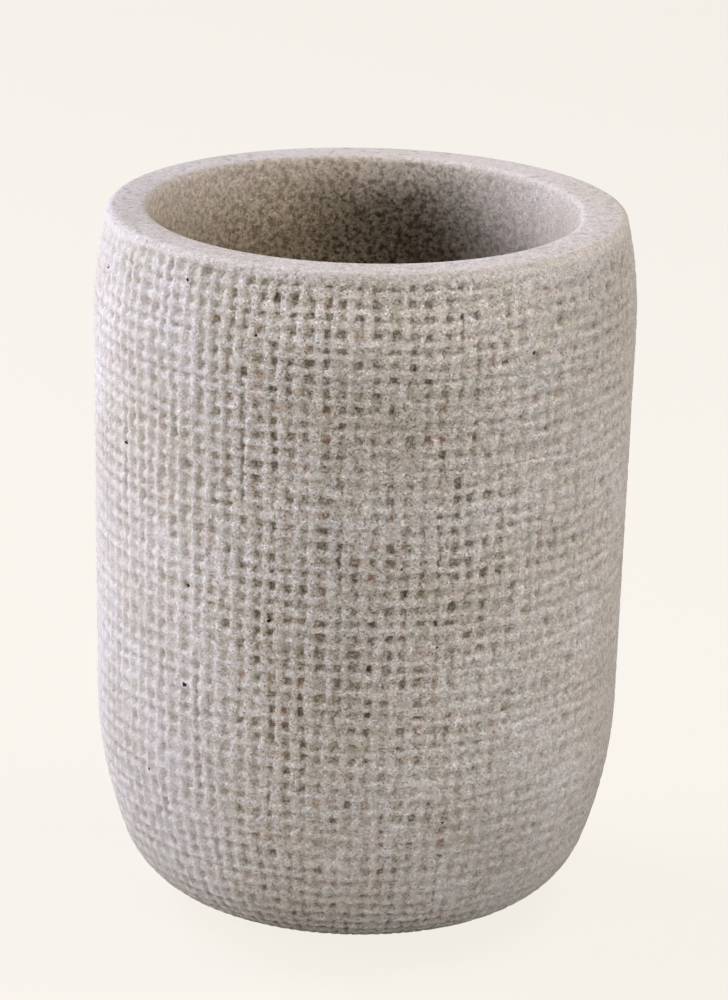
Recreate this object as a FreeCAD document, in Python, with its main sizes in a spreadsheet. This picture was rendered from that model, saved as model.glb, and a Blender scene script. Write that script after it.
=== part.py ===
"""Bathroom tumbler: a one-piece casting of sand-filled resin that stands on four stuck-on foam pads.

Frame: +Z up, the origin on the tumbler's own axis in the plane that the pads stand on, -Y to the front.
All lengths are in millimetres and all angles in degrees.
"""

import FreeCAD, Part
import Sketcher
import os
from math import cos, radians, sin, sqrt, tan

DRIVING_SIZES = (
    ("overall_height", 106.5, "rim above the table"),
    ("body_diameter", 80.0, "widest outside diameter"),
    ("shoulder_drop", 15.5, "widest line below the rim"),
    ("shoulder_radius", 62.0, "slow curve that draws the wall in to the rim"),
    ("rim_edge_radius", 1.9, "outer edge of the rim"),
    ("side_taper", 1.2, "lean of the straight side, in degrees"),
    ("belly_height", 33.0, "where the straight side ends, above the table"),
    ("belly_radius", 65.0, "slow curve below the straight side"),
    ("foot_inset", 19.8, "edge of the flat foot inside the widest line"),
    ("wall_thickness", 8.3, "edge of the mouth inside the widest line"),
    ("lip_radius", 1.5, "inner edge of the rim"),
    ("core_draft", 1.0, "lean of the inner wall, in degrees, that lets the core draw out"),
    ("floor_thickness", 9.0, "casting under the cavity"),
    ("cavity_corner_radius", 12.0, "between the inner wall and the cavity floor"),
    ("pad_diameter", 8.0, "foam foot pad"),
    ("pad_thickness", 1.4, "foam foot pad"),
    ("pad_edge_gap", 2.0, "rim of a pad inside the edge of the foot"),
    ("adhesive_thickness", 0.1, "film that holds a pad to the foot"),
)

# Heights and radii that several pieces share, as formulas on the sheet
BODY_RADIUS = "(sizes.body_diameter / 2)"
FOOT_RADIUS = f"({BODY_RADIUS} - sizes.foot_inset)"
FOOT_HEIGHT = "(sizes.pad_thickness + sizes.adhesive_thickness)"
PAD_RING_RADIUS = f"({FOOT_RADIUS} - sizes.pad_edge_gap - sizes.pad_diameter / 2)"

# The places of the pads under the foot, counter-clockwise from +X, evenly spaced
PAD_PLACES = ("back_right", "back_left", "front_left", "front_right")
PAD_SPACING = f"(360 / {len(PAD_PLACES)})"

# How a sketch numbers the ends and the centre of a curve, and its own origin
START, END, CENTRE = range(1, 4)
ORIGIN = (-1, START)

doc = FreeCAD.newDocument("bathroom_tumbler")


def make_sizes():
    """The sheet that every piece takes its sizes from."""
    sheet = doc.addObject("Spreadsheet::Sheet", "sizes")
    for row, (alias, value, meaning) in enumerate(DRIVING_SIZES, start=1):
        sheet.set(f"A{row}", meaning)
        sheet.set(f"B{row}", str(value))
        sheet.setAlias(f"B{row}", alias)
    doc.recompute()
    return sheet


def make_body(label):
    """An empty body with its own label."""
    body = doc.addObject("PartDesign::Body", label)
    body.Label = label
    return body


def make_sketch(body, name, role):
    """An empty sketch on one of the body's own origin planes."""
    sketch = body.newObject("Sketcher::SketchObject", name)
    plane = next(feature for feature in body.Origin.OriginFeatures if feature.Role == role)
    sketch.AttachmentSupport = [(plane, "")]
    sketch.MapMode = "FlatFace"
    return sketch


def drive(sketch, name, formula, *constraint):
    """A named dimension of a sketch that follows a formula on the sheet."""
    index = sketch.addConstraint(Sketcher.Constraint(*constraint))
    sketch.renameConstraint(index, name)
    sketch.setExpression(f"Constraints.{name}", formula)


def add_line(sketch, start, end):
    """A straight run of a profile."""
    return sketch.addGeometry(Part.LineSegment(start, end), False)


def add_arc(sketch, centre, start, end):
    """A round stretch of a profile, counter-clockwise from start to end."""
    circle = Part.Circle(centre, FreeCAD.Vector(0, 0, 1), (start - centre).Length)
    arc = Part.ArcOfCircle(circle, circle.parameter(start), circle.parameter(end))
    return sketch.addGeometry(arc, False)


def point(radius, height):
    """A point of the turned profile, in the sketch's plane."""
    return FreeCAD.Vector(radius, height, 0)


def touch_point(centre, radius, lean):
    """Where a circle touches a line that leans outward, going up, by an angle in radians."""
    return centre + point(radius * cos(lean), -radius * sin(lean))


def draw_casting(sketch, sheet):
    """Half the casting's section: foot, belly, side, shoulder and rim, then the cavity and the axis."""
    size = {alias: sheet.get(alias) for alias, _, _ in DRIVING_SIZES}
    body_radius = size["body_diameter"] / 2
    foot_radius = body_radius - size["foot_inset"]
    foot_height = size["pad_thickness"] + size["adhesive_thickness"]
    rim_height = size["overall_height"]
    taper = radians(size["side_taper"])
    draft = radians(size["core_draft"])

    shoulder_centre = point(body_radius - size["shoulder_radius"], rim_height - size["shoulder_drop"])
    side_top = touch_point(shoulder_centre, size["shoulder_radius"], taper)
    side_bottom = point(side_top.x - (side_top.y - size["belly_height"]) * tan(taper), size["belly_height"])
    belly_centre = touch_point(side_bottom, -size["belly_radius"], taper)

    # The base corner takes the one radius that meets both the flat foot and the belly without a kink
    across = foot_radius - belly_centre.x
    up = belly_centre.y - foot_height
    corner_radius = (size["belly_radius"] ** 2 - across ** 2 - up ** 2) / (2 * (size["belly_radius"] - up))
    foot_edge = point(foot_radius, foot_height)
    corner_centre = foot_edge + point(0, corner_radius)
    corner_end = belly_centre + (corner_centre - belly_centre).normalize() * size["belly_radius"]

    edge_reach = size["shoulder_radius"] - size["rim_edge_radius"]
    edge_rise = rim_height - size["rim_edge_radius"] - shoulder_centre.y
    edge_centre = shoulder_centre + point(sqrt(edge_reach ** 2 - edge_rise ** 2), edge_rise)
    edge_start = shoulder_centre + (edge_centre - shoulder_centre).normalize() * size["shoulder_radius"]
    rim_outside = edge_centre + point(0, size["rim_edge_radius"])

    lip_centre = point(body_radius - size["wall_thickness"] + size["lip_radius"],
                       rim_height - size["lip_radius"])
    rim_inside = lip_centre + point(0, size["lip_radius"])
    wall_top = touch_point(lip_centre, -size["lip_radius"], draft)
    cavity_floor = foot_height + size["floor_thickness"]
    wall_foot_height = cavity_floor + size["cavity_corner_radius"]
    wall_foot_radius = wall_top.x - (wall_top.y - wall_foot_height) * tan(draft)
    hollow_centre = point(wall_foot_radius - size["cavity_corner_radius"] / cos(draft), wall_foot_height)
    wall_bottom = touch_point(hollow_centre, size["cavity_corner_radius"], draft)
    floor_edge = point(hollow_centre.x, cavity_floor)

    foot = add_line(sketch, point(0, foot_height), foot_edge)
    corner = add_arc(sketch, corner_centre, foot_edge, corner_end)
    belly = add_arc(sketch, belly_centre, corner_end, side_bottom)
    side = add_line(sketch, side_bottom, side_top)
    shoulder = add_arc(sketch, shoulder_centre, side_top, edge_start)
    rim_edge = add_arc(sketch, edge_centre, edge_start, rim_outside)
    rim = add_line(sketch, rim_outside, rim_inside)
    lip = add_arc(sketch, lip_centre, rim_inside, wall_top)
    wall = add_line(sketch, wall_top, wall_bottom)
    hollow = add_arc(sketch, hollow_centre, floor_edge, wall_bottom)
    floor = add_line(sketch, floor_edge, point(0, cavity_floor))
    axis = add_line(sketch, point(0, cavity_floor), point(0, foot_height))

    flowing = (foot, corner, belly, side, shoulder, rim_edge, rim, lip, wall)
    for before, after in zip(flowing, flowing[1:]):
        sketch.addConstraint(Sketcher.Constraint("Tangent", before, END, after, START))
    sketch.addConstraint(Sketcher.Constraint("Tangent", wall, END, hollow, END))
    sketch.addConstraint(Sketcher.Constraint("Tangent", hollow, START, floor, START))
    sketch.addConstraint(Sketcher.Constraint("Coincident", floor, END, axis, START))
    sketch.addConstraint(Sketcher.Constraint("Coincident", axis, END, foot, START))
    for level in (foot, rim, floor):
        sketch.addConstraint(Sketcher.Constraint("Horizontal", level))
    for end in (START, END):
        sketch.addConstraint(Sketcher.Constraint("Vertical", *ORIGIN, axis, end))

    def across_to(name, formula, curve, place, value):
        drive(sketch, name, formula, "DistanceX", *ORIGIN, curve, place, value)

    def up_to(name, formula, curve, place, value):
        drive(sketch, name, formula, "DistanceY", *ORIGIN, curve, place, value)

    def round_to(name, curve, value):
        drive(sketch, name, f"sizes.{name}", "Radius", curve, value)

    up_to("foot_height", FOOT_HEIGHT, foot, END, foot_height)
    across_to("foot_radius", FOOT_RADIUS, foot, END, foot_radius)
    round_to("belly_radius", belly, size["belly_radius"])
    up_to("belly_height", "sizes.belly_height", side, START, size["belly_height"])
    drive(sketch, "side_angle", "90 - sizes.side_taper", "Angle", side, radians(90) - taper)
    round_to("shoulder_radius", shoulder, size["shoulder_radius"])
    across_to("shoulder_centre", f"{BODY_RADIUS} - sizes.shoulder_radius", shoulder, CENTRE,
              shoulder_centre.x)
    up_to("shoulder_height", "sizes.overall_height - sizes.shoulder_drop", shoulder, CENTRE,
          shoulder_centre.y)
    round_to("rim_edge_radius", rim_edge, size["rim_edge_radius"])
    up_to("rim_height", "sizes.overall_height", rim, START, rim_height)
    round_to("lip_radius", lip, size["lip_radius"])
    across_to("lip_centre", f"{BODY_RADIUS} - sizes.wall_thickness + sizes.lip_radius", lip, CENTRE,
              lip_centre.x)
    drive(sketch, "wall_angle", "-90 - sizes.core_draft", "Angle", wall, radians(-90) - draft)
    round_to("cavity_corner_radius", hollow, size["cavity_corner_radius"])
    up_to("cavity_floor", f"{FOOT_HEIGHT} + sizes.floor_thickness", floor, START, cavity_floor)


def make_tumbler(sheet):
    """The casting: its section turned once round the upright axis."""
    body = make_body("tumbler_body")
    section = make_sketch(body, "casting_section", "XZ_Plane")
    draw_casting(section, sheet)
    casting = body.newObject("PartDesign::Revolution", "casting")
    casting.Profile = section
    casting.ReferenceAxis = (section, ["V_Axis"])
    casting.Angle = 360
    return body


def put_under_foot(piece, index):
    """Sets a pad or its film at one of the places on the pads' ring."""
    angle = f"({index} + 0.5) * {PAD_SPACING}"
    piece.setExpression("Placement.Base.x", f"{PAD_RING_RADIUS} * cos({angle})")
    piece.setExpression("Placement.Base.y", f"{PAD_RING_RADIUS} * sin({angle})")


def make_foot_pad(index, place):
    """A foam disc, cut square from sheet."""
    body = make_body(f"foot_pad_{place}")
    outline = make_sketch(body, f"pad_outline_{place}", "XY_Plane")
    disc = outline.addGeometry(Part.Circle(), False)
    outline.addConstraint(Sketcher.Constraint("Coincident", disc, CENTRE, *ORIGIN))
    drive(outline, "pad_diameter", "sizes.pad_diameter", "Diameter", disc, sizes.get("pad_diameter"))
    foam = body.newObject("PartDesign::Pad", f"foam_{place}")
    foam.Profile = outline
    foam.setExpression("Length", "sizes.pad_thickness")
    put_under_foot(body, index)
    return body


def make_adhesive(index, place):
    """The film between a foot pad and the ground foot."""
    film = doc.addObject("Part::Cylinder", f"pad_adhesive_{place}")
    film.setExpression("Radius", "sizes.pad_diameter / 2")
    film.setExpression("Height", "sizes.adhesive_thickness")
    film.setExpression("Placement.Base.z", "sizes.pad_thickness")
    put_under_foot(film, index)
    return film


def check_and_write(pieces):
    """Stops on a piece that failed, then writes each piece to a file named by its label."""
    doc.recompute()
    failed = [thing.Label for thing in doc.Objects if {"Invalid", "Error"} & set(thing.State)]
    failed += [piece.Label for piece in pieces if piece.Shape.isNull() or not piece.Shape.isValid()]
    if failed:
        raise RuntimeError(f"these failed: {failed}")
    os.makedirs("parts", exist_ok=True)
    for piece in pieces:
        piece.Shape.exportStep(f"parts/{piece.Label}.step")
        print(f"{piece.Label}: {piece.Shape.Volume:.2f} mm3")


sizes = make_sizes()
pieces = [make_tumbler(sizes)]
for index, place in enumerate(PAD_PLACES):
    pieces.append(make_foot_pad(index, place))
    pieces.append(make_adhesive(index, place))
check_and_write(pieces)
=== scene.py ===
import math

import bpy
import bmesh
import numpy as np
from mathutils import Matrix, Vector


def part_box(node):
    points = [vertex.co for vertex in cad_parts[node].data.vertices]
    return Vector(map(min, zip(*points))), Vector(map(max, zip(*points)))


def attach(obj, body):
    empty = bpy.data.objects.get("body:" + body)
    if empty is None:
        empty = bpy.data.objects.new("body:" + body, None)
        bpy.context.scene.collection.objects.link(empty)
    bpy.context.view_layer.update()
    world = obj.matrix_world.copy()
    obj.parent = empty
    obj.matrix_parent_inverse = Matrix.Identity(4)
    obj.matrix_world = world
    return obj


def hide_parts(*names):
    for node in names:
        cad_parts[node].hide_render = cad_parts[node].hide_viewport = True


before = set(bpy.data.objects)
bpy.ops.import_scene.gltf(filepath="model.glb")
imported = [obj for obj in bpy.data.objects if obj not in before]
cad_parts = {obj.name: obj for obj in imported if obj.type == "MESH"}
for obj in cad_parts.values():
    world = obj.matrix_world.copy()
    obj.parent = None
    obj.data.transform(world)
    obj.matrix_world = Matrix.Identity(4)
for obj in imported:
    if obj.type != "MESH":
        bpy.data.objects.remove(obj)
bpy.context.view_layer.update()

# The tumbler body is one casting of sand-filled resin. The mould was lined with coarse hessian, whose open
# plain weave is printed all over the outside; the rim and the foot were sanded flat, the cavity is as cast.
MM = 0.001
body_low, body_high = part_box("tumbler_body")
rim_height, foot_height = body_high.z, body_low.z
body_radius = (body_high.x - body_low.x) / 2
shoulder_drop, shoulder_radius = 15.5 * MM, 62 * MM
rim_edge_radius, lip_radius = 1.1 * MM, 1.0 * MM
side_taper, core_draft = math.radians(1.2), math.radians(1.0)
belly_height, belly_radius = 33.0 * MM, 65 * MM
foot_radius = body_radius - 19.8 * MM
mouth_radius = body_radius - 8.3 * MM
cavity_floor, cavity_corner_radius = foot_height + 9 * MM, 12 * MM

# Its section is made of runs and arcs that touch, so each arc's centre follows from its neighbours.
shoulder_centre = Vector((body_radius - shoulder_radius, rim_height - shoulder_drop))
rim_edge_rise = rim_height - rim_edge_radius - shoulder_centre.y
rim_edge_angle = math.asin(rim_edge_rise / (shoulder_radius - rim_edge_radius))
rim_edge_reach = (shoulder_radius - rim_edge_radius) * math.cos(rim_edge_angle)
rim_edge_centre = shoulder_centre + Vector((rim_edge_reach, rim_edge_rise))
side_normal = Vector((math.cos(side_taper), -math.sin(side_taper)))
side_top = shoulder_centre + shoulder_radius * side_normal
side_foot = Vector((side_top.x - (side_top.y - belly_height) * math.tan(side_taper), belly_height))
belly_centre = side_foot - belly_radius * side_normal
corner_across, corner_above = foot_radius - belly_centre.x, belly_centre.y - foot_height
corner_radius = (belly_radius**2 - corner_across**2 - corner_above**2) / (2 * (belly_radius - corner_above))
corner_centre = Vector((foot_radius, foot_height + corner_radius))
corner_angle = math.atan2(belly_centre.y - corner_centre.y, corner_across)
lip_centre = Vector((mouth_radius + lip_radius, rim_height - lip_radius))
core_top = lip_centre + lip_radius * Vector((-math.cos(core_draft), math.sin(core_draft)))
core_foot_z = cavity_floor + cavity_corner_radius * (1 - math.sin(core_draft))
core_foot = Vector((core_top.x - (core_top.y - core_foot_z) * math.tan(core_draft), core_foot_z))
cavity_corner_centre = Vector((core_foot.x - cavity_corner_radius * math.cos(core_draft),
                               cavity_floor + cavity_corner_radius))

# The cloth has its threads up (warps) and around (wefts), each with four mesh rows: two on it, two beside it.
WARPS, WEFTS, ROWS = 102, 50, 4
floor_rows, cavity_corner_rows, wall_rows, lip_rows, rim_rows, rim_edge_rows = 5, 7, 12, 3, 3, 4
shoulder_rows, side_rows, belly_rows, foot_rows = 28, 100, 39, 5
woven_rows, columns = WEFTS * ROWS, WARPS * ROWS
corner_rows = woven_rows - shoulder_rows - side_rows - belly_rows

bpy.ops.object.select_all(action="DESELECT")
bpy.ops.mesh.primitive_plane_add(size=MM)
tumbler = bpy.context.object
tumbler.name = tumbler.data.name = "woven_tumbler"
bpy.ops.object.mode_set(mode="EDIT")
bpy.ops.mesh.merge(type="CENTER")
bpy.ops.transform.translate(value=(0, 0, cavity_floor))


def run_to(end, rows):
    """Extrudes the open end of the section straight to a point."""
    outline = bmesh.from_edit_mesh(tumbler.data)
    here = next(v.co for v in outline.verts if v.select)
    step = ((end.x - here.x) / rows, 0, (end.y - here.z) / rows)
    for _ in range(rows):
        bpy.ops.mesh.extrude_region_move(TRANSFORM_OT_translate={"value": step})


def turn(centre, clockwise, rows):
    """Spins the open end of the section about a centre."""
    bpy.ops.mesh.spin(steps=rows, angle=-clockwise, center=(centre.x, 0, centre.y), axis=(0, 1, 0))


quarter = math.pi / 2
run_to(Vector((cavity_corner_centre.x, cavity_floor)), floor_rows)
turn(cavity_corner_centre, core_draft - quarter, cavity_corner_rows)
run_to(core_top, wall_rows)
turn(lip_centre, quarter - core_draft, lip_rows)
run_to(Vector((rim_edge_centre.x, rim_height)), rim_rows)
turn(rim_edge_centre, quarter - rim_edge_angle, rim_edge_rows)
turn(shoulder_centre, rim_edge_angle + side_taper, shoulder_rows)
run_to(side_foot, side_rows)
turn(belly_centre, corner_angle - side_taper, belly_rows)
turn(corner_centre, quarter - corner_angle, corner_rows)
run_to(Vector((0, foot_height)), foot_rows)
bpy.ops.object.mode_set(mode="OBJECT")

# Each point of the section carries its row number round the spin, so that the print finds its threads later.
section = np.array([(v.co.x, v.co.z) for v in tumbler.data.vertices])
row_mark = tumbler.data.attributes.new("row", "INT", "POINT")
row_mark.data.foreach_set("value", np.arange(len(section), dtype=np.int32))
bpy.ops.object.mode_set(mode="EDIT")
bpy.ops.mesh.select_all(action="SELECT")
bpy.ops.mesh.spin(steps=columns, angle=math.tau, center=(0, 0, 0), axis=(0, 0, 1))
bpy.ops.mesh.select_all(action="SELECT")
bpy.ops.mesh.remove_doubles(threshold=0.01 * MM)
bpy.ops.mesh.normals_make_consistent(inside=False)
bpy.ops.object.mode_set(mode="OBJECT")
bpy.ops.object.shade_smooth()

# The print: threads drift and vary in width as loose hessian does, and the holes between them are cast as
# pits of unequal depth, some of them nearly filled. The thread crests lie on the casting's own surface.
# Lengths on the cloth are in thread spacings. Turns are in degrees from the front, with the right at 90.
rng = np.random.default_rng(46)


def drift(down, around, reach_down, reach_around):
    """A smooth random field over the cloth, of unit spread, that joins up round the casting."""
    waves = np.fft.fft2(rng.standard_normal((down, around)))
    tone_down = np.fft.fftfreq(down)[:, None] * reach_down
    tone_around = np.fft.fftfreq(around)[None, :] * reach_around
    field = np.fft.ifft2(waves * np.exp(-2 * np.pi**2 * (tone_down**2 + tone_around**2))).real
    return field / field.std()


THREAD_TURNS, THREAD_HALVES = (-180, -90, -50, -16, 40, 180), (0.14, 0.12, 0.122, 0.14, 0.16, 0.14)
WANDER_TURNS, WANDERS = (-180, -60, 0, 30, 60, 180), (1.3, 1.2, 1.2, 1.6, 2.0, 1.3)
KINK, BEND, BOW = 0.05, 0.07, 0.12
HALF_SPREAD, HALF_LIMITS = 0.048, (0.04, 0.28)
column_angle = np.arange(columns)[None, :] * math.tau / columns
front_turn = (np.degrees(column_angle) + 270) % 360 - 180
thread = np.interp(front_turn, THREAD_TURNS, THREAD_HALVES)
wander = np.interp(front_turn, WANDER_TURNS, WANDERS)
warp_thread, warp_wander = thread[:, ::ROWS], wander[:, ::ROWS]
warp_path = KINK * warp_wander * drift(woven_rows + 1, WARPS, 4, 0)
warp_path += BEND * drift(woven_rows + 1, WARPS, 20, 0)
warp_path += BOW * drift(woven_rows + 1, WARPS, 60, 9)
warp_half = np.clip(warp_thread + HALF_SPREAD * drift(woven_rows + 1, WARPS, 6, 0), *HALF_LIMITS)
weft_path = KINK * wander * drift(WEFTS + 1, columns, 0, 4)
weft_path += BEND * drift(WEFTS + 1, columns, 0, 20)
weft_path += BOW * drift(WEFTS + 1, columns, 5, 70)
weft_half = np.clip(thread + HALF_SPREAD * drift(WEFTS + 1, columns, 0, 6), *HALF_LIMITS)

# Each pit has its own share of the full depth, and each bit of thread has sunk or worn by its own amount.
PIT_MEAN, PIT_SPREAD, PIT_DRIFT, PIT_LIMITS = 0.95, 0.14, 0.06, (0.4, 1.35)
THREAD_WEAR = 0.05
pit_share = PIT_MEAN + PIT_SPREAD * warp_wander * drift(WEFTS, WARPS, 0, 0)
pit_share = np.clip(pit_share + PIT_DRIFT * drift(WEFTS, WARPS, 3, 3), *PIT_LIMITS)
wear = np.stack([drift(WEFTS, WARPS, 0, 0) for _ in range(3)])
crest_sink, warp_loss, weft_loss = np.abs(THREAD_WEAR * warp_wander * wear)

# Between two threads the surface slopes down to the pit's floor over this share of the gap.
SLOPE = 0.28
left, right = warp_path - warp_half, warp_path + warp_half
gap = np.roll(left, -1, axis=1) + 1 - right
around = np.stack((left, right, right + SLOPE * gap, right + (1 - SLOPE) * gap), axis=2)
around = (around + np.arange(WARPS)[None, :, None]).reshape(woven_rows + 1, columns)
upper, lower = weft_path - weft_half, weft_path + weft_half
gap = upper[1:] + 1 - lower[:-1]
down = np.stack((upper[:-1], lower[:-1], lower[:-1] + SLOPE * gap, lower[:-1] + (1 - SLOPE) * gap), axis=1)
down = (down + np.arange(WEFTS)[:, None, None]).reshape(woven_rows, columns)
down = np.vstack((down, np.full((1, columns), WEFTS)))

# Over and under: at every other crossing the warp lies on top, and each thread dips towards where it goes
# under. The warps lost most of their height at the right, and the wefts at the left. Depths are in mm.
PIT_DEPTH, NEAR_DIP, FAR_DIP = 0.60, 0.02, 0.25
WARP_LOSS_TURNS, WARP_LOSSES = (-180, -70, 0, 30, 60, 180), (0.04, 0, 0.02, 0.06, 0.08, 0.04)
WEFT_LOSS_TURNS, WEFT_LOSSES = (-180, -110, -60, -20, 180), (0, 0.04, 0.06, 0, 0)
warp_over = (np.arange(WEFTS)[:, None] + np.arange(WARPS)) % 2 == 0
depth = np.empty((WEFTS, ROWS, WARPS, ROWS))
depth[:, :2, :, :2] = crest_sink[:, None, :, None]
depth[:, 2, :, :2] = np.where(warp_over, NEAR_DIP, FAR_DIP)[:, :, None]
depth[:, 3, :, :2] = np.where(warp_over, FAR_DIP, NEAR_DIP)[:, :, None]
depth[:, :2, :, 2] = np.where(warp_over, FAR_DIP, NEAR_DIP)[:, None, :]
depth[:, :2, :, 3] = np.where(warp_over, NEAR_DIP, FAR_DIP)[:, None, :]
warp_loss += np.interp(front_turn, WARP_LOSS_TURNS, WARP_LOSSES)[:, ::ROWS]
weft_loss += np.interp(front_turn, WEFT_LOSS_TURNS, WEFT_LOSSES)[:, ::ROWS]
depth[:, 2:, :, :2] += warp_loss[:, None, :, None]
depth[:, :2, :, 2:] += weft_loss[:, None, :, None]
depth[:, 2:, :, 2:] = PIT_DEPTH * pit_share[:, None, :, None]
depth = np.vstack((depth.reshape(woven_rows, columns), np.zeros((1, columns))))

# The cloth was pressed in unevenly, hardest at the front and less towards the base. The sanded rim and the
# turn of the base lost the print altogether.
SANDING_TURNS, SANDING_ROWS = (-180, 20, 50, 110, 150, 180), (1.5, 1.5, 5, 5, 1.5, 1.5)
BARE_ROWS, BASE_FADE_ROWS = 2, 16
PRESS_TURNS = (-180, -140, -105, -85, -63, -38, -16, 16, 38, 63, 80, 105, 140, 180)
PRESSES = (1.0, 1.0, 0.45, 0.6, 1.02, 1.1, 1.2, 1.2, 0.95, 0.7, 0.35, 0.25, 1.0, 1.0)
LOW_ROWS, LOW_PRESSES = (0, 70, 100, 126, 175, 200), (1, 1, 0.85, 0.74, 0.66, 0.6)
PRESS_SPREAD, PRESS_LIMITS = 0.04, (0.3, 1.7)
ROUGHNESS, STRAY = 0.04, 0.022
LINE_MEAN, LINE_SPREAD, LINE_LIMITS = 0.3, 0.7, (0, 2)
row = np.arange(woven_rows + 1)[:, None]
sanding_line = np.clip(LINE_MEAN + LINE_SPREAD * drift(1, columns, 0, 12), *LINE_LIMITS)
rim_fade = np.clip((row - sanding_line) / np.interp(front_turn, SANDING_TURNS, SANDING_ROWS), 0, 1)
fade = rim_fade * np.clip((woven_rows - BARE_ROWS - row) / BASE_FADE_ROWS, 0, 1)
press = np.interp(front_turn, PRESS_TURNS, PRESSES) * np.interp(row, LOW_ROWS, LOW_PRESSES)
press *= 1 + PRESS_SPREAD * drift(woven_rows + 1, columns, 36, 36)
press = np.clip(press, *PRESS_LIMITS) * fade
rough = ROUGHNESS * wander * drift(woven_rows + 1, columns, 0, 0) * fade
depth = np.maximum(depth * press + rough, 0) * MM
even_down, even_around = row / ROWS, np.arange(columns) / ROWS
down = even_down + (down + STRAY * drift(woven_rows + 1, columns, 0, 0) - even_down) * fade
around = even_around + (around + STRAY * drift(woven_rows + 1, columns, 0, 0) - even_around) * fade

# The points of the woven rows move to their threads along the section, and then in, square to the surface.
points = np.empty(3 * len(tumbler.data.vertices))
tumbler.data.vertices.foreach_get("co", points)
points = points.reshape(-1, 3)
marks = np.empty(len(points), np.int32)
tumbler.data.attributes["row"].data.foreach_get("value", marks)
rim_start = floor_rows + cavity_corner_rows + wall_rows
first_woven = rim_start + lip_rows + rim_rows + rim_edge_rows
outside = section[first_woven:first_woven + woven_rows + 1]
length = np.concatenate(([0], np.cumsum(np.hypot(*np.diff(outside, axis=0).T))))
run = np.gradient(outside, length, axis=0)
place = down * length[-1] / WEFTS
radius = np.interp(place, length, outside[:, 0]) + depth * np.interp(place, length, run[:, 1])
height = np.interp(place, length, outside[:, 1]) - depth * np.interp(place, length, run[:, 0])
angle = around * math.tau / WARPS
woven = (marks >= first_woven) & (marks <= first_woven + woven_rows)
at_row = marks[woven] - first_woven
at_turn = np.arctan2(points[woven, 1], points[woven, 0]) / math.tau
at_column = np.rint(at_turn * columns).astype(int) % columns
at = (at_row, at_column)
reach, turned = radius[at], angle[at]
points[woven] = np.column_stack((reach * np.cos(turned), reach * np.sin(turned), height[at]))

# The core stood a little to one side in the mould, so the wall is thinner there by the mouth.
core_lean = 0.45 * MM
inner = marks <= rim_start + lip_rows
points[inner, 0] -= core_lean * (points[inner, 2] - cavity_floor) / (rim_height - cavity_floor)
tumbler.data.vertices.foreach_set("co", points.ravel())
tumbler.data.update()

# The material finds the pits, the sanded faces and the cavity by measures on the points.
# The pit measure is each point's depth as a share of the full pit depth, scaled by its turn. That scale is
# partly painted shade: least at the left and greatest at the front and right.
PIT_TURNS = (-180, -90, -40, -16, 10, 40, 65, 90, 180)
PIT_TINTS = (0.55, 0.22, 0.40, 0.74, 0.76, 0.59, 0.75, 0.8, 0.55)
FOOT_SANDING = 0.6
pit = np.zeros(len(points))
pit[woven] = (depth / (PIT_DEPTH * MM) * np.interp(front_turn, PIT_TURNS, PIT_TINTS))[at]
rim_marks = (rim_start - 1, rim_start + lip_rows, first_woven - 2, first_woven + 2)
lip_marks = (rim_start - 4, rim_start, rim_start + lip_rows)
sanded = np.interp(marks, rim_marks, (0, 1, 1, 0))
sanded[marks > first_woven + woven_rows] = FOOT_SANDING
cavity = np.interp(marks, lip_marks, (1, 0.5, 0))
in_cavity, on_rim = marks < rim_start, (marks >= rim_start) & (marks < first_woven)
turn_round = (np.degrees(np.arctan2(points[:, 1], points[:, 0])) + 270) % 360 - 180
below = marks - first_woven

# These tones were set by comparing the render's brightness with the photograph's, so they are partly painted
# light and shade and partly the casting's own tone. Each patch has how much paler it is, the turn at its
# middle, its width, and its share by rows below the rim.
SIDE_TURNS = (-180, -40, -25, -8, 5, 18, 35, 50, 65, 90, 180)
SIDE_LIGHT_AND_TONES = (1, 1, 1.01, 0.98, 0.99, 1.05, 1.10, 1.02, 0.98, 0.97, 1)
RIM_TURNS = (-180, -130, -85, -45, 0, 60, 95, 180)
RIM_LIGHT_AND_TONES = (0.96, 0.88, 0.835, 0.91, 0.95, 0.92, 0.91, 0.96)
CORE_TURNS = (-180, -155, -125, -90, 0, 90, 115, 145, 165, 180)
CORE_LIGHT_AND_TONES = (0.90, 1.22, 0.97, 0.97, 1.0, 1.08, 1.12, 1.04, 0.72, 0.90)
CORE_YELLOWS = (1, 0.9, 0.8, 0.6, 0.3, 0, 0, 0.1, 0.6, 1)
PATCHES = ((0.19, 0, 38, (0, 8, 28), (0, 1, 0)),
           (-0.21, 60, 32, (-1, 4, 30, 60), (0, 1, 0.25, 0.1)),
           (-0.08, -55, 30, (-1, 4, 40, 60), (0, 1, 0.5, 0)),
           (-0.08, -72, 14, (45, 70, 115, 160), (0, 1, 1, 0.3)),
           (-0.06, -3, 13, (50, 70, 105, 120), (0, 1, 1, 0)),
           (0.06, 56, 13, (50, 75, 165, 185), (0, 1, 1, 0)),
           (-0.05, 36, 11, (100, 120, 160, 180), (0, 1, 1, 0)),
           (-0.10, -55, 28, (90, 130, 165, 185), (0, 1, 1, 0.4)),
           (-0.15, 16, 38, (125, 170), (0, 1)))
painted_light_and_tone = np.interp(turn_round, SIDE_TURNS, SIDE_LIGHT_AND_TONES)
for paler, side, width, rows, shares in PATCHES:
    painted_light_and_tone += paler * np.exp(-((turn_round - side) / width)**2) * np.interp(below, rows, shares)
painted_light_and_tone[in_cavity] = np.interp(turn_round, CORE_TURNS, CORE_LIGHT_AND_TONES)[in_cavity]
painted_light_and_tone[on_rim] = np.interp(turn_round, RIM_TURNS, RIM_LIGHT_AND_TONES)[on_rim]
cavity_yellow = np.where(in_cavity, np.interp(turn_round, CORE_TURNS, CORE_YELLOWS), 0)

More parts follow.
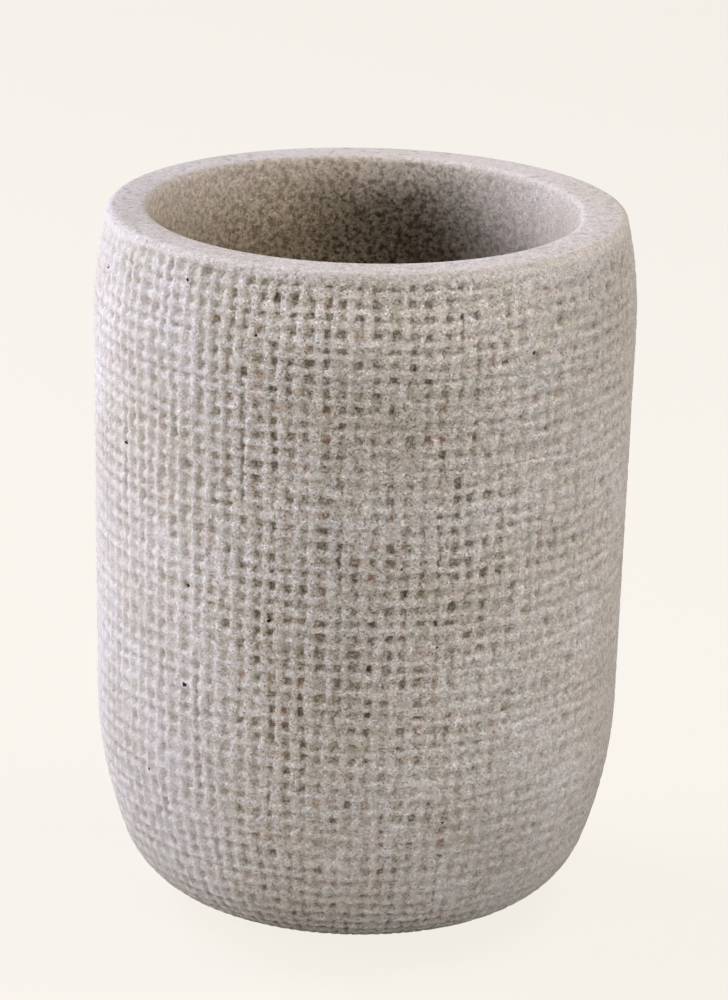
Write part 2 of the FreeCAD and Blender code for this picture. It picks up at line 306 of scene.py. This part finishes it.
# The grain is plainest at the front and in the cavity's back wall, where the sand also lies in dark clumps.
CORE_GRAINS = (1.4, 1.0, 0.7, 0.6, 0.6, 0.15, 0.2, 0.7, 1.3, 1.4)
BARE_TURNS, BARE_GRITS = (-180, -100, 0, 100, 180), (0.2, 0.75, 1.0, 0.7, 0.2)
GRAIN_TURNS, GRAIN_HOLDS = (-180, -90, -50, -16, 16, 50, 90, 180), (0.6, 0, 0.3, 1, 1, 0.6, 0.4, 0.6)
LOW_GRAIN_ROWS, LOW_GRAINS = (100, 160), (1, 0.7)
CORE_GRIT, WOVEN_GRITS, WOVEN_LUMPS, LIP_LUMPS = 0.75, (0.12, 1.0), 0.22, (1.0, 0.5, 0.12)
core_grain = np.interp(turn_round, CORE_TURNS, CORE_GRAINS)
grain_hold = np.interp(front_turn, GRAIN_TURNS, GRAIN_HOLDS)[0][at_column]
grain_hold = grain_hold * np.interp(at_row, LOW_GRAIN_ROWS, LOW_GRAINS)
grit = np.where(in_cavity, CORE_GRIT * core_grain, np.interp(turn_round, BARE_TURNS, BARE_GRITS))
grit[woven] = np.interp(grain_hold, (0, 1), WOVEN_GRITS)
lumps = np.interp(marks, lip_marks, LIP_LUMPS)
lumps = np.where(marks < rim_start + lip_rows, np.clip(lumps * core_grain, 0, 1), lumps)
lumps[woven] = WOVEN_LUMPS * grit[woven]
measures = {"pit": pit, "sanded": sanded, "cavity": cavity, "grit": grit, "lumps": lumps, "painted_light_and_tone": painted_light_and_tone,
            "cavity_yellow": cavity_yellow}
for name, values in measures.items():
    measure = tumbler.data.attributes.new(name, "FLOAT", "POINT")
    measure.data.foreach_set("value", values.astype(np.float32))
tumbler.data.attributes.remove(tumbler.data.attributes["row"])


class Finish:
    """A procedural material, put together node by node."""

    def __init__(self, name):
        self.material = bpy.data.materials.new(name)
        self.material.use_nodes = True
        self.tree = self.material.node_tree
        self.shader = self.tree.nodes["Principled BSDF"]
        self.coords = self.put("ShaderNodeTexCoord", output="Object")

    def put(self, kind, inputs=None, output=0, **settings):
        """Adds a node with its inputs linked or set, and gives one of its outputs."""
        node = self.tree.nodes.new(kind)
        for key, value in settings.items():
            setattr(node, key, value)
        for key, value in (inputs or {}).items():
            self.plug(node, key, value)
        return node.outputs[output]

    def plug(self, node, key, value):
        if isinstance(value, bpy.types.NodeSocket):
            self.tree.links.new(value, node.inputs[key])
        else:
            node.inputs[key].default_value = value

    def measure(self, name):
        """A measure that the mesh carries on its points."""
        return self.put("ShaderNodeAttribute", output="Fac", attribute_name=name)

    def grains(self, per_metre, output, coords=None):
        inputs = {"Vector": coords or self.coords, "Scale": per_metre}
        return self.put("ShaderNodeTexVoronoi", inputs, output=output)

    def clouds(self, per_metre, detail=0.0):
        inputs = {"Vector": self.coords, "Scale": per_metre, "Detail": detail}
        return self.put("ShaderNodeTexNoise", inputs, output="Fac")

    def channel(self, colour, name):
        return self.put("ShaderNodeSeparateColor", {0: colour}, output=name)

    def number(self, kind, *inputs):
        return self.put("ShaderNodeMath", dict(enumerate(inputs)), operation=kind)

    def tint(self, factor, *stops):
        """A colour for a number, by a ramp of (place, red, green, blue) stops."""
        node = self.tree.nodes.new("ShaderNodeValToRGB")
        while len(node.color_ramp.elements) < len(stops):
            node.color_ramp.elements.new(1.0)
        for element, (place, *colour) in zip(node.color_ramp.elements, stops):
            element.position, element.color = place, (*colour, 1)
        self.plug(node, 0, factor)
        return node.outputs[0]

    def blend(self, kind, factor, first, second):
        inputs = {0: factor, 6: first, 7: second}
        return self.put("ShaderNodeMix", inputs, output=2, data_type="RGBA", blend_type=kind)


resin = Finish("cast_sand_resin")
pits, sanding, inside = resin.measure("pit"), resin.measure("sanded"), resin.measure("cavity")
coarse = resin.measure("grit")

# Sand grains about a quarter of a millimetre across: mostly warm grey, some white quartz, a few dark.
GRAINS_PER_METRE, FINES_PER_METRE, FINES_LEAST = 3800.0, 7000.0, 0.5
EVEN_SAND = (0.55, 0.53, 0.53, 1)
grain = resin.grains(GRAINS_PER_METRE, "Color")
colour = resin.tint(resin.channel(grain, "Red"), (0.00, 0.24, 0.23, 0.225), (0.11, 0.41, 0.395, 0.39),
                    (0.30, 0.535, 0.515, 0.515), (0.58, 0.59, 0.57, 0.572), (0.85, 0.655, 0.64, 0.645),
                    (1.00, 0.83, 0.83, 0.84))
colour = resin.blend("MIX", coarse, EVEN_SAND, colour)
fines = resin.clouds(FINES_PER_METRE, 1.0)
fines_tint = resin.tint(fines, (0.3, 0.83, 0.825, 0.81), (0.7, 1.13, 1.13, 1.13))
fines_share = resin.number("MULTIPLY_ADD", coarse, 1 - FINES_LEAST, FINES_LEAST)
colour = resin.blend("MULTIPLY", fines_share, colour, fines_tint)

# The sand lies in clumps, most plainly where the core stood, and the mix is cooler or warmer in
# broad patches.
CLUMPS_PER_METRE, DARK_GRAINS_PER_METRE = 1150.0, 2500.0
WARMTHS_PER_METRE, BLOTS_PER_METRE = 60.0, 260.0
clump = resin.clouds(CLUMPS_PER_METRE, 4.0)
clumps = resin.tint(clump, (0.38, 0.42, 0.40, 0.37), (0.47, 0.95, 0.94, 0.93), (0.62, 1.35, 1.35, 1.35))
dark_grain = resin.channel(resin.grains(DARK_GRAINS_PER_METRE, "Color"), "Red")
dark_tint = resin.tint(dark_grain, (0.0, 0.38, 0.37, 0.35), (0.25, 0.93, 0.92, 0.91), (1.0, 1.18, 1.18, 1.18))
clumps = resin.blend("MULTIPLY", 1.0, clumps, dark_tint)
colour = resin.blend("MULTIPLY", resin.measure("lumps"), colour, clumps)
warmth = resin.tint(resin.clouds(WARMTHS_PER_METRE, 2.0), (0.35, 0.95, 0.93, 0.89), (0.65, 1.05, 1.05, 1.06))
colour = resin.blend("MULTIPLY", 1.0, colour, warmth)
blots = resin.tint(resin.clouds(BLOTS_PER_METRE, 1.0), (0.35, 0.98, 0.97, 0.935), (0.5, 1, 1, 1),
                   (0.65, 1.025, 0.99, 0.99))
colour = resin.blend("MULTIPLY", 1.0, colour, blots)

# The pits are darkened partly by dark sand and partly by painted shade, olive brown in most and rusty in
# some.
PIT_DARK_SPREAD, PIT_DARK_LEAST, CLUMP_MIDDLE, RUSTS_PER_METRE = 0.8, 0.6, 0.5, 420.0
pit_sand_and_shade = resin.number("MULTIPLY", pits, resin.number("MULTIPLY_ADD", dark_grain, PIT_DARK_SPREAD, PIT_DARK_LEAST))
pit_tone = resin.number("ADD", pit_sand_and_shade, resin.number("MULTIPLY_ADD", clump, -1.0, CLUMP_MIDDLE))
olive = resin.tint(pit_tone, (0.08, 1.05, 1.05, 1.05), (0.37, 0.89, 0.87, 0.82), (0.70, 0.72, 0.695, 0.63),
                   (1.00, 0.38, 0.35, 0.285))
rusty = resin.tint(pit_tone, (0.08, 1.05, 1.05, 1.05), (0.37, 0.93, 0.87, 0.81), (0.70, 0.79, 0.68, 0.60),
                   (1.00, 0.47, 0.36, 0.285))
rust = resin.tint(resin.clouds(RUSTS_PER_METRE), (0.56, 0, 0, 0), (0.70, 1, 1, 1))
colour = resin.blend("MULTIPLY", 1.0, colour, resin.blend("MIX", rust, olive, rusty))

# Painted shade: the cavity grows darker and browner inward from the lip. Its back and left are also tinted
# yellower.
cavity_painted_shade = resin.tint(inside, (0.0, 1, 1, 1), (0.5, 1.02, 0.97, 0.90), (1.0, 0.44, 0.385, 0.31))
colour = resin.blend("MULTIPLY", 1.0, colour, cavity_painted_shade)
colour = resin.blend("MULTIPLY", resin.measure("cavity_yellow"), colour, (0.97, 0.975, 0.87, 1))

# Sanding leaves the rim paler and more even, with short dark marks where grains were dragged out.
SANDED_SHARE, SANDED_SAND = 0.36, (0.60, 0.58, 0.562, 1)
colour = resin.blend("MIX", resin.number("MULTIPLY", sanding, SANDED_SHARE), colour, SANDED_SAND)
DRAG_TURN, DRAG_STRETCH, DRAGS_PER_METRE = (0, 0, math.radians(12)), (1.3, 1, 1), 1300.0
dragged = {"Vector": resin.coords, "Rotation": DRAG_TURN, "Scale": DRAG_STRETCH}
dragged = resin.put("ShaderNodeMapping", dragged, vector_type="TEXTURE")
drag = {"Vector": dragged, "Scale": DRAGS_PER_METRE, "Detail": 0.5}
drag = resin.put("ShaderNodeTexNoise", drag, output="Fac")
drag_tint = resin.tint(drag, (0.26, 0.74, 0.725, 0.73), (0.37, 1, 1, 1), (0.7, 1.02, 1.02, 1.02))
colour = resin.blend("MULTIPLY", sanding, colour, drag_tint)
# Painted light and shade, partly the casting's own tone: the tone measure makes each point paler or darker.
colour = resin.blend("MULTIPLY", 1.0, colour, resin.measure("painted_light_and_tone"))

# A few black grains sit well apart from each other, and here and there a rust-red one.
SPECKS_PER_METRE, SPECK_FROM, SPECK_GROWTH = 330.0, 0.88, 1.1
WOBBLES_PER_METRE, WOBBLE = 2600.0, (0.5 * MM, 0.5 * MM, 0.5 * MM)
wobble = {"Vector": resin.coords, "Scale": WOBBLES_PER_METRE}
wobble = resin.put("ShaderNodeTexNoise", wobble, output="Color")
wobble = resin.put("ShaderNodeVectorMath", {0: wobble, 1: WOBBLE, 2: resin.coords}, operation="MULTIPLY_ADD")
speck = resin.grains(SPECKS_PER_METRE, "Distance", wobble)
speck_pick = resin.channel(resin.grains(SPECKS_PER_METRE, "Color", wobble), "Blue")
speck_size = resin.number("MAXIMUM", resin.number("SUBTRACT", speck_pick, SPECK_FROM), 0.0)
speck_size = resin.number("MULTIPLY", speck_size, SPECK_GROWTH)
speck_tint = resin.tint(speck_pick, (0.89, 0.16, 0.07, 0.04), (0.905, 0.03, 0.026, 0.022))
colour = resin.blend("MIX", resin.number("LESS_THAN", speck, speck_size), colour, speck_tint)
resin.plug(resin.shader, "Base Color", colour)

# Matt all over, but for a few grains that broke with a flat face.
shine = resin.tint(resin.channel(grain, "Green"), (0.0, 0.95, 0.95, 0.95), (0.92, 0.85, 0.85, 0.85),
                   (0.98, 0.6, 0.6, 0.6))
resin.plug(resin.shader, "Roughness", shine)
resin.plug(resin.shader, "Specular IOR Level", 0.15)

# The grains stand out of the resin, less so where they were sanded.
GRAIN_DOME, GRAIN_STAND, SANDED_OFF, GRAIN_HEIGHT = 0.8, 0.5, 0.38, 0.09 * MM
relief = resin.number("MULTIPLY_ADD", resin.grains(GRAINS_PER_METRE, "Distance"), -GRAIN_DOME, fines)
grain_stand = resin.number("MULTIPLY_ADD", sanding, -SANDED_OFF, GRAIN_STAND)
bump = resin.put("ShaderNodeBump", {"Strength": grain_stand, "Distance": GRAIN_HEIGHT, "Height": relief})
resin.plug(resin.shader, "Normal", bump)
tumbler.data.materials.append(resin.material)
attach(tumbler, "root")
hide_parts("tumbler_body")

# The foot pads, four discs die-cut from closed-cell foam, keep the tumbler from scratching a basin edge.
# Each is pressed on by hand under the flat of the foot, and its lower edge is rounded by wear. Each step of
# a pad's side has its share of the way down and of the pad's radius.
PAD_NODES = ("foot_pad_back_right", "foot_pad_back_left", "foot_pad_front_left", "foot_pad_front_right")
PAD_SIDE = ((0.20, 0.995), (0.45, 1.0), (0.70, 0.99), (0.86, 0.965), (0.95, 0.925), (1.0, 0.87))
PAD_TOP, PAD_POINTS, PAD_INSET, PAD_CREASE = 0.975, 64, 0.3, math.radians(40)
pad_low, pad_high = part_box(PAD_NODES[0])
pad_radius, pad_thickness = (pad_high.x - pad_low.x) / 2, pad_high.z - pad_low.z
pad_middle = (pad_low + pad_high) / 2
done, across = 0.0, PAD_TOP
bpy.ops.object.select_all(action="DESELECT")
bpy.ops.mesh.primitive_circle_add(vertices=PAD_POINTS, radius=across * pad_radius, fill_type="NGON",
                                  location=(pad_middle.x, pad_middle.y, pad_high.z))
first_pad = bpy.context.object
bpy.ops.object.transform_apply(location=True, rotation=True, scale=True)
bpy.ops.object.mode_set(mode="EDIT")
bpy.ops.mesh.select_all(action="SELECT")
for down_share, wide in PAD_SIDE:
    drop = (0, 0, (done - down_share) * pad_thickness)
    bpy.ops.mesh.extrude_region_move(TRANSFORM_OT_translate={"value": drop})
    bpy.ops.transform.resize(value=(wide / across, wide / across, 1), center_override=pad_middle)
    done, across = down_share, wide
bpy.ops.mesh.inset(thickness=PAD_INSET * pad_radius)
bpy.ops.mesh.select_all(action="SELECT")
bpy.ops.mesh.normals_make_consistent(inside=False)
bpy.ops.object.mode_set(mode="OBJECT")
bpy.ops.object.shade_smooth_by_angle(angle=PAD_CREASE)
foam = Finish("pad_foam")
CELLS_PER_METRE, SOILS_PER_METRE, CELL_STAND, CELL_DEPTH = 4200.0, 700.0, 0.5, 0.08 * MM
cells = foam.grains(CELLS_PER_METRE, "Distance")
soil = foam.tint(foam.clouds(SOILS_PER_METRE, 3.0), (0.35, 0.86, 0.84, 0.80), (0.6, 1, 1, 1))
foam_colour = foam.tint(cells, (0.1, 0.70, 0.69, 0.66), (0.6, 0.82, 0.81, 0.78))
foam.plug(foam.shader, "Base Color", foam.blend("MULTIPLY", 1.0, foam_colour, soil))
foam.plug(foam.shader, "Roughness", 0.85)
foam_bump = foam.put("ShaderNodeBump", {"Strength": CELL_STAND, "Distance": CELL_DEPTH, "Height": cells})
foam.plug(foam.shader, "Normal", foam_bump)
first_pad.data.materials.append(foam.material)
for node in PAD_NODES:
    pad = first_pad
    if node != PAD_NODES[0]:
        bpy.ops.object.select_all(action="DESELECT")
        first_pad.select_set(True)
        bpy.context.view_layer.objects.active = first_pad
        bpy.ops.object.duplicate(linked=False)
        pad = bpy.context.object
        bpy.ops.transform.translate(value=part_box(node)[0] - pad_low)
        bpy.ops.object.transform_apply(location=True, rotation=True, scale=True)
    pad.name = pad.data.name = node.replace("foot_pad", "foam_pad")
    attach(pad, "root")
    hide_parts(node)

# The adhesive films, one between each pad and the foot, are clear acrylic that has yellowed a little.
# They are as thin as the film on the pad's back, so their plain solids stay as they are.
film = Finish("adhesive_film")
YELLOWS_PER_METRE = 900.0
film_colour = film.tint(film.clouds(YELLOWS_PER_METRE, 2.0), (0.3, 0.80, 0.76, 0.63), (0.7, 0.84, 0.81, 0.71))
film.plug(film.shader, "Base Color", film_colour)
film.plug(film.shader, "Roughness", 0.35)
for node in PAD_NODES:
    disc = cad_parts[node.replace("foot_pad", "pad_adhesive")]
    disc.data.materials.clear()
    disc.data.materials.append(film.material)

# The stage: a pale cream floor that fills the view. The camera sees most of it as plain cream under a faint
# shadow, while the light that it throws back up at the tumbler is that of a duller board. It lies a hair
# below the pads, so that it shares no plane with them.
floor_size, floor_gap = 8, 0.02 * MM
BOUNCE_COLOUR, SHADOWED_COLOUR = (0.28, 0.265, 0.235, 1), (0.93, 0.896, 0.831, 1)
PLAIN_COLOUR, PLAIN_SHARE = (0.94, 0.907, 0.842, 1), 0.915
bpy.ops.object.select_all(action="DESELECT")
bpy.ops.mesh.primitive_plane_add(size=floor_size, location=(0, 0, -floor_gap))
floor = bpy.context.object
floor.name = floor.data.name = "cream_floor"
board = bpy.data.materials.new("cream_board")
board.use_nodes = True
tree = board.node_tree
tree.nodes.clear()
light_path = tree.nodes.new("ShaderNodeLightPath")
seen = light_path.outputs["Is Camera Ray"]
for ray in ("Is Glossy Ray", "Is Transmission Ray"):
    either = tree.nodes.new("ShaderNodeMath")
    either.operation = "MAXIMUM"
    tree.links.new(seen, either.inputs[0])
    tree.links.new(light_path.outputs[ray], either.inputs[1])
    seen = either.outputs[0]
bounce = tree.nodes.new("ShaderNodeBsdfDiffuse")
bounce.inputs["Color"].default_value = BOUNCE_COLOUR
shadowed = tree.nodes.new("ShaderNodeBsdfDiffuse")
shadowed.inputs["Color"].default_value = SHADOWED_COLOUR
plain = tree.nodes.new("ShaderNodeEmission")
plain.inputs["Color"].default_value = PLAIN_COLOUR
cream = tree.nodes.new("ShaderNodeMixShader")
cream.inputs[0].default_value = PLAIN_SHARE
tree.links.new(shadowed.outputs[0], cream.inputs[1])
tree.links.new(plain.outputs[0], cream.inputs[2])
pick = tree.nodes.new("ShaderNodeMixShader")
tree.links.new(seen, pick.inputs[0])
tree.links.new(bounce.outputs[0], pick.inputs[1])
tree.links.new(cream.outputs[0], pick.inputs[2])
surface = tree.nodes.new("ShaderNodeOutputMaterial")
tree.links.new(pick.outputs[0], surface.inputs["Surface"])
floor.data.materials.append(board)

world = bpy.data.worlds.new("studio")
bpy.context.scene.world = world
world.use_nodes = True
background = world.node_tree.nodes["Background"]
background.inputs["Color"].default_value = (1, 0.98, 0.95, 1)
background.inputs["Strength"].default_value = 0.01

# Soft lamps stand round the tumbler. Each has its name, its turn and rise in degrees, its distance and size
# in metres, its watts and its colour.
lamp_aim = Vector((0, 0, 0.06))
LAMPS = (("left_softbox", -90, 17, 0.9, 0.5, 6.1, (0.82, 0.86, 0.995)),
         ("left_card", -50, 4, 0.9, 0.3, 3.8, (0.99, 0.928, 0.85)),
         ("back_softbox", -120, 40, 0.9, 0.5, 7.0, (0.84, 0.85, 1.0)),
         ("right_softbox", 52, 7, 0.9, 0.3, 4.2, (0.98, 0.97, 0.95)),
         ("right_card", 90, 62, 0.45, 0.25, 1.15, (1.0, 0.86, 0.72)))
for name, azimuth, elevation, distance, size, watts, colour in LAMPS:
    lamp = bpy.data.objects.new(name, bpy.data.lights.new(name, "AREA"))
    bpy.context.scene.collection.objects.link(lamp)
    lamp.data.shape, lamp.data.size = "DISK", size
    lamp.data.energy, lamp.data.color = watts, colour
    swing, rise = math.radians(azimuth), math.radians(elevation)
    away = Vector((math.sin(swing) * math.cos(rise), -math.cos(swing) * math.cos(rise), math.sin(rise)))
    lamp.location = lamp_aim + distance * away
    lamp.rotation_euler = away.to_track_quat("Z", "Y").to_euler()

# The camera looks down a little at the tumbler from an arm's length and more, through a long lens.
view_rise, view_distance, view_roll = math.radians(17.3073), 0.9, math.radians(1.378)
middle = Vector((0, 0, 0.054))
aim = Vector((0.00048, 0, 0.06171))
camera = bpy.data.objects.new("camera", bpy.data.cameras.new("camera"))
bpy.context.scene.collection.objects.link(camera)
camera.location = middle + view_distance * Vector((0, -math.cos(view_rise), math.sin(view_rise)))
looking = (aim - camera.location).to_track_quat("-Z", "Y")
camera.rotation_euler = (looking.to_matrix() @ Matrix.Rotation(view_roll, 3, "Z")).to_euler()
camera.data.sensor_width, camera.data.lens = 36, 217.453
bpy.context.scene.camera = camera
bpy.context.scene.view_settings.view_transform = "Standard"
